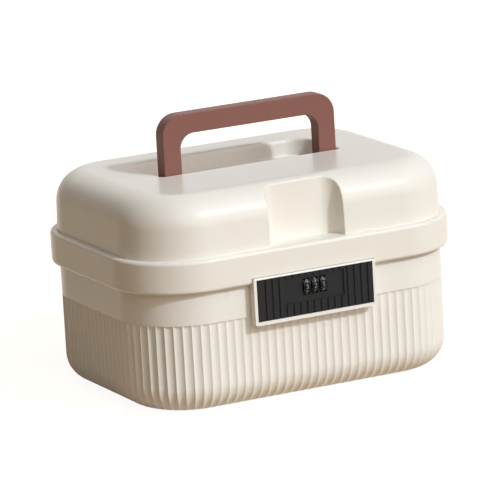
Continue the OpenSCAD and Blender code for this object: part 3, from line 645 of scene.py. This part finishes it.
# Ribs: spacing, how far right of the middle they are set, the grooves between them, and their rounded lips
RIB_PITCH, RIB_SHIFT, GROOVE_W, GROOVE_D, LIP = 6.2, 1.1, 1.7, 0.9, 0.22
# Where the points across a rounded lip lie, as shares of its width from the edge
LIP_PLACES = (1, 0.6, 0.25, 0.06, 0)
PANEL_HX, PANEL_Z0, PANEL_Z1, PANEL_D = 26.3, 80.5, 101.7, 1.1
DIAL_PITCH, DIAL_Y, DIAL_Z = joint_place("dial_right_turn")
DIAL_WINDOW_W, DIAL_WINDOW_H = 6.3, 13.8


def sunk(d, depth):
    """How deep a sunk area is, d mm inside its edge, with the edge's lip rounded."""
    if d <= -LIP:
        return 0.0
    return LIP - math.sqrt(LIP * LIP - (d + LIP) ** 2) if d <= 0 else depth


def across_edge(x, way):
    """Places either side of an edge at x; way points into the sunk area."""
    return [x - way * LIP * share for share in LIP_PLACES] + [x + way * HAIR]


def off_front(middle, normal, corners):
    """Faces of the plate other than those of its front, inside its outline."""
    return not (middle.y < PLATE_Y + PANEL_D + NEAR and abs(middle.x) < PLATE_HX - NEAR
                and PLATE_Z0 + NEAR < middle.z < PLATE_Z1 - NEAR)


def build_plate():
    """Black plate: rounded ribs, a plain sunk panel and three windows for the dials."""
    count = int(PLATE_HX // RIB_PITCH)
    grooves = [RIB_SHIFT + (i + 0.5) * RIB_PITCH for i in range(-count, count)]
    xs = [-PLATE_HX, PLATE_HX] + across_edge(-PANEL_HX, 1) + across_edge(PANEL_HX, -1)
    for g in grooves:
        xs += across_edge(g - GROOVE_W / 2, 1) + across_edge(g + GROOVE_W / 2, -1)
    for k in (-1, 0, 1):
        xs += [k * DIAL_PITCH - DIAL_WINDOW_W / 2, k * DIAL_PITCH + DIAL_WINDOW_W / 2]
    zs = [PLATE_Z0, PLATE_Z1, DIAL_Z - DIAL_WINDOW_H / 2, DIAL_Z + DIAL_WINDOW_H / 2]
    zs += across_edge(PANEL_Z0, 1) + across_edge(PANEL_Z1, -1)
    xs, zs = sorted(set(xs)), sorted(set(zs))
    verts = []
    for z in zs:
        for x in xs:
            groove = max(sunk(GROOVE_W / 2 - abs(x - g), GROOVE_D) for g in grooves)
            panel = sunk(min(PANEL_HX - abs(x), z - PANEL_Z0, PANEL_Z1 - z), PANEL_D)
            verts.append((x, PLATE_Y + max(groove, panel), z))
    faces = []
    for j in range(len(zs) - 1):
        for i in range(len(xs) - 1):
            mx, mz = (xs[i] + xs[i + 1]) / 2, (zs[j] + zs[j + 1]) / 2
            beside = min(abs(mx - k * DIAL_PITCH) for k in (-1, 0, 1))
            if beside > DIAL_WINDOW_W / 2 or abs(mz - DIAL_Z) > DIAL_WINDOW_H / 2:
                n = j * len(xs) + i
                faces.append((n, n + 1, n + 1 + len(xs), n + len(xs)))
    shape = new_mesh("ribbed_plate", *joined([(verts, faces), cad_faces("lock_fascia", off_front)]))
    piece = finish_piece("ribbed_plate", shape, black_abs, "flap", sharp=50.0)
    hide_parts("lock_fascia")


build_plate()


# Digits on the dials, each wrapped round its dial and standing out by a hair

DIAL_R, DIGITS = 8.0, 10
# A digit's height and greatest width, how far it stands out and how deep its root is, and its rows of faces
DIGIT_H, DIGIT_W, DIGIT_UP, DIGIT_DOWN, DIGIT_ROWS = 3.7, 3.6, 0.1, 0.15, 8
# The digit that each dial shows in the middle of its window
SHOWN = {"left": 3, "middle": 2, "right": 5}


def digit_shape(digit):
    """Flat digit as points and faces in millimetres, cut into narrow rows so that it can bend."""
    words = bpy.data.curves.new("digit", "FONT")
    words.body = str(digit)
    words.size = 1.0
    words.resolution_u = 3
    holder = placed("digit", words)
    bpy.context.view_layer.update()
    flat = bpy.data.meshes.new_from_object(holder.evaluated_get(bpy.context.evaluated_depsgraph_get()))
    bpy.data.objects.remove(holder)
    work = bmesh.new()
    work.from_mesh(flat)
    xs, ys = [v.co.x for v in work.verts], [v.co.y for v in work.verts]
    scale = DIGIT_H / (max(ys) - min(ys))
    wide = min(scale, DIGIT_W / (max(xs) - min(xs)))
    middle_x, middle_y = (max(xs) + min(xs)) / 2, (max(ys) + min(ys)) / 2
    for v in work.verts:
        v.co = Vector(((v.co.x - middle_x) * wide, (v.co.y - middle_y) * scale, 0))
    for k in range(1, DIGIT_ROWS):
        cut = -DIGIT_H / 2 + DIGIT_H * k / DIGIT_ROWS
        bmesh.ops.bisect_plane(work, geom=work.verts[:] + work.edges[:] + work.faces[:], plane_co=(0, cut, 0),
                               plane_no=(0, 1, 0))
    work.verts.index_update()
    verts, faces = [tuple(v.co) for v in work.verts], [tuple(v.index for v in f.verts) for f in work.faces]
    rim = [tuple(v.index for v in e.verts) for e in work.edges if len(e.link_faces) == 1]
    work.free()
    return verts, faces, rim


def build_digits():
    """The ten digits round each dial, with their roots sunk into it."""
    shapes = [digit_shape(d) for d in range(DIGITS)]
    for place, side in (("left", -1), ("middle", 0), ("right", 1)):
        parts = []
        for step in range(DIGITS):
            verts, faces, rim = shapes[(SHOWN[place] + step) % DIGITS]
            made = []
            for lift in (DIGIT_UP, -DIGIT_DOWN):
                for u, v, _ in verts:
                    a = v / DIAL_R + math.radians(360 / DIGITS * step)
                    r = DIAL_R + lift
                    made.append((side * DIAL_PITCH + u, DIAL_Y - r * math.cos(a), DIAL_Z + r * math.sin(a)))
            n = len(verts)
            walls = [(a, b, b + n, a + n) for a, b in rim]
            parts.append((made, faces + walls))
        name = "digits_" + place
        shape = new_mesh(name, *joined(parts))
        piece = finish_piece(name, shape, digit_paint, "dial_" + place, weighted=False)


build_digits()


# Finishes of the CAD pieces that show as they are

def finish_cad_pieces():
    finishes = (
        (drawn_steel, ("hinge_pin_left", "hinge_pin_right", "flap_pin", "handle_pin_left", "handle_pin_right",
                       "dial_spindle", "lock_bolt")),
        (pressed_steel, ("striker", "lock_chassis")),
        (spring_steel, ("detent_spring", "bolt_spring")),
        (zinc_screw, ("striker_screws", "cover_screws")),
        (cream_frame, ("lock_frame",)),
        (black_back, ("lock_cover",)),
        (black_acetal, ("code_dial_left", "code_dial_middle", "code_dial_right")))
    for material, names in finishes:
        for name in names:
            for slot in NODES[name].material_slots:
                slot.material = material


finish_cad_pieces()


# Studio: a floor that is white to the eye, three soft lamps and a faint warm surround. Lengths are in metres

FLOOR_HALF, FLOOR_DROP, FLOOR_GLOW = 14.0, 0.0002, 0.92
LAMP_AWAY = 3.0
# Camera: degrees to the right of the front, up and rolled, then metres away
CAMERA_TURN, CAMERA_RISE, CAMERA_ROLL, CAMERA_AWAY = -26.57, 12.98, -3.31, 3.7714
# What it looks at: a height on the box's axis in metres, moved right and up across the view in millimetres
AIM_HEIGHT, AIM_RIGHT, AIM_UP = 0.1, 0.22, 1.23
# Its lens, as a focal length in pixels of a frame this many pixels wide, on a sensor in millimetres
FOCAL_PIXELS, FRAME_PIXELS, SENSOR = 4571.9, 500, 36.0


def white_rays(tree):
    """1 for rays in which the eye, gloss or glass sees the background, 0 for those that light the object."""
    path = add(tree, "ShaderNodeLightPath")
    either = add(tree, "ShaderNodeMath", None, {0: (path, "Is Camera Ray"), 1: (path, "Is Glossy Ray")},
                 operation="MAXIMUM")
    return add(tree, "ShaderNodeMath", None, {0: (either, 0), 1: (path, "Is Transmission Ray")},
               operation="MAXIMUM")


def build_floor():
    """Matt warm floor, which keeps the object's shadow, with a glow that makes it white to the eye."""
    material, tree = new_material("studio_floor")
    glow = add(tree, "ShaderNodeMath", {1: FLOOR_GLOW}, {0: (white_rays(tree), 0)}, operation="MULTIPLY")
    matt = add(tree, "ShaderNodeBsdfDiffuse", {"Color": linear("#b59b73")})
    lift = add(tree, "ShaderNodeEmission", {"Color": (1, 1, 1, 1)}, {"Strength": (glow, 0)})
    both = add(tree, "ShaderNodeAddShader", None, {0: (matt, 0), 1: (lift, 0)})
    add(tree, "ShaderNodeOutputMaterial", None, {"Surface": (both, 0)})
    mesh = bpy.data.meshes.new("studio_floor")
    corners = [(x * FLOOR_HALF, y * FLOOR_HALF, 0) for x, y in ((-1, -1), (1, -1), (1, 1), (-1, 1))]
    mesh.from_pydata(corners, [], [(0, 1, 2, 3)])
    mesh.materials.append(material)
    floor = placed("studio_floor", mesh)
    floor.location.z = -FLOOR_DROP


def studio_lamp(name, strength, width, colour, side, elevation):
    """A distant soft lamp: width and elevation in degrees, side is how far it stands right of the front."""
    lamp = bpy.data.lights.new(name, "SUN")
    lamp.energy = strength
    lamp.angle = math.radians(width)
    lamp.color = colour
    holder = placed(name, lamp)
    turn, rise = math.radians(side), math.radians(elevation)
    towards = Vector((math.sin(turn) * math.cos(rise), -math.cos(turn) * math.cos(rise), math.sin(rise)))
    holder.rotation_euler = towards.to_track_quat("Z", "Y").to_euler()
    holder.location = towards * LAMP_AWAY


def build_light():
    # The key draws the handle's clear shadow on the lid, the wide one lightens it
    studio_lamp("key_lamp", 1.75, 3.5, (0.80, 0.91, 1.0), 26.6, 36.2)
    studio_lamp("wide_lamp", 1.86, 75, (1.0, 0.965, 0.955), 19.9, 36)
    # A weak warm one from behind keeps the lid's top and the back from going dull
    studio_lamp("back_lamp", 0.36, 50, (1.0, 0.86, 0.68), 176, 48)


def build_world():
    """White to the eye, with a faint warm light of its own on the object."""
    world = bpy.data.worlds.new("studio")
    world.use_nodes = True
    tree = world.node_tree
    tree.nodes.clear()
    around = add(tree, "ShaderNodeBackground", {"Color": (1.0, 0.50, 0.15, 1.0), "Strength": 0.035})
    seen = add(tree, "ShaderNodeBackground", {"Color": (1, 1, 1, 1), "Strength": 1.0})
    pick = add(tree, "ShaderNodeMixShader", None, {0: (white_rays(tree), 0), 1: (around, 0), 2: (seen, 0)})
    add(tree, "ShaderNodeOutputWorld", None, {"Surface": (pick, 0)})
    bpy.context.scene.world = world


def build_camera():
    """The photograph's camera: left of the front, a little above, with a long lens."""
    a, e, roll = math.radians(CAMERA_TURN), math.radians(CAMERA_RISE), math.radians(CAMERA_ROLL)
    back = Vector((math.sin(a) * math.cos(e), -math.cos(a) * math.cos(e), math.sin(e)))
    right = (-back).cross(Vector((0, 0, 1))).normalized()
    up = right.cross(-back)
    right, up = (right * math.cos(roll) + up * math.sin(roll), up * math.cos(roll) - right * math.sin(roll))
    target = Vector((0, 0, AIM_HEIGHT)) + right * AIM_RIGHT * MM + up * AIM_UP * MM
    lens = bpy.data.cameras.new("photo_camera")
    lens.sensor_width = SENSOR
    lens.lens = FOCAL_PIXELS / FRAME_PIXELS * SENSOR
    lens.clip_end = 60.0
    camera = placed("photo_camera", lens)
    turn = Matrix((right, up, back)).transposed().to_4x4()
    camera.matrix_world = Matrix.Translation(target + back * CAMERA_AWAY) @ turn
    bpy.context.scene.camera = camera


build_floor()
build_light()
build_world()
build_camera()
bpy.context.scene.view_settings.view_transform = "Standard"
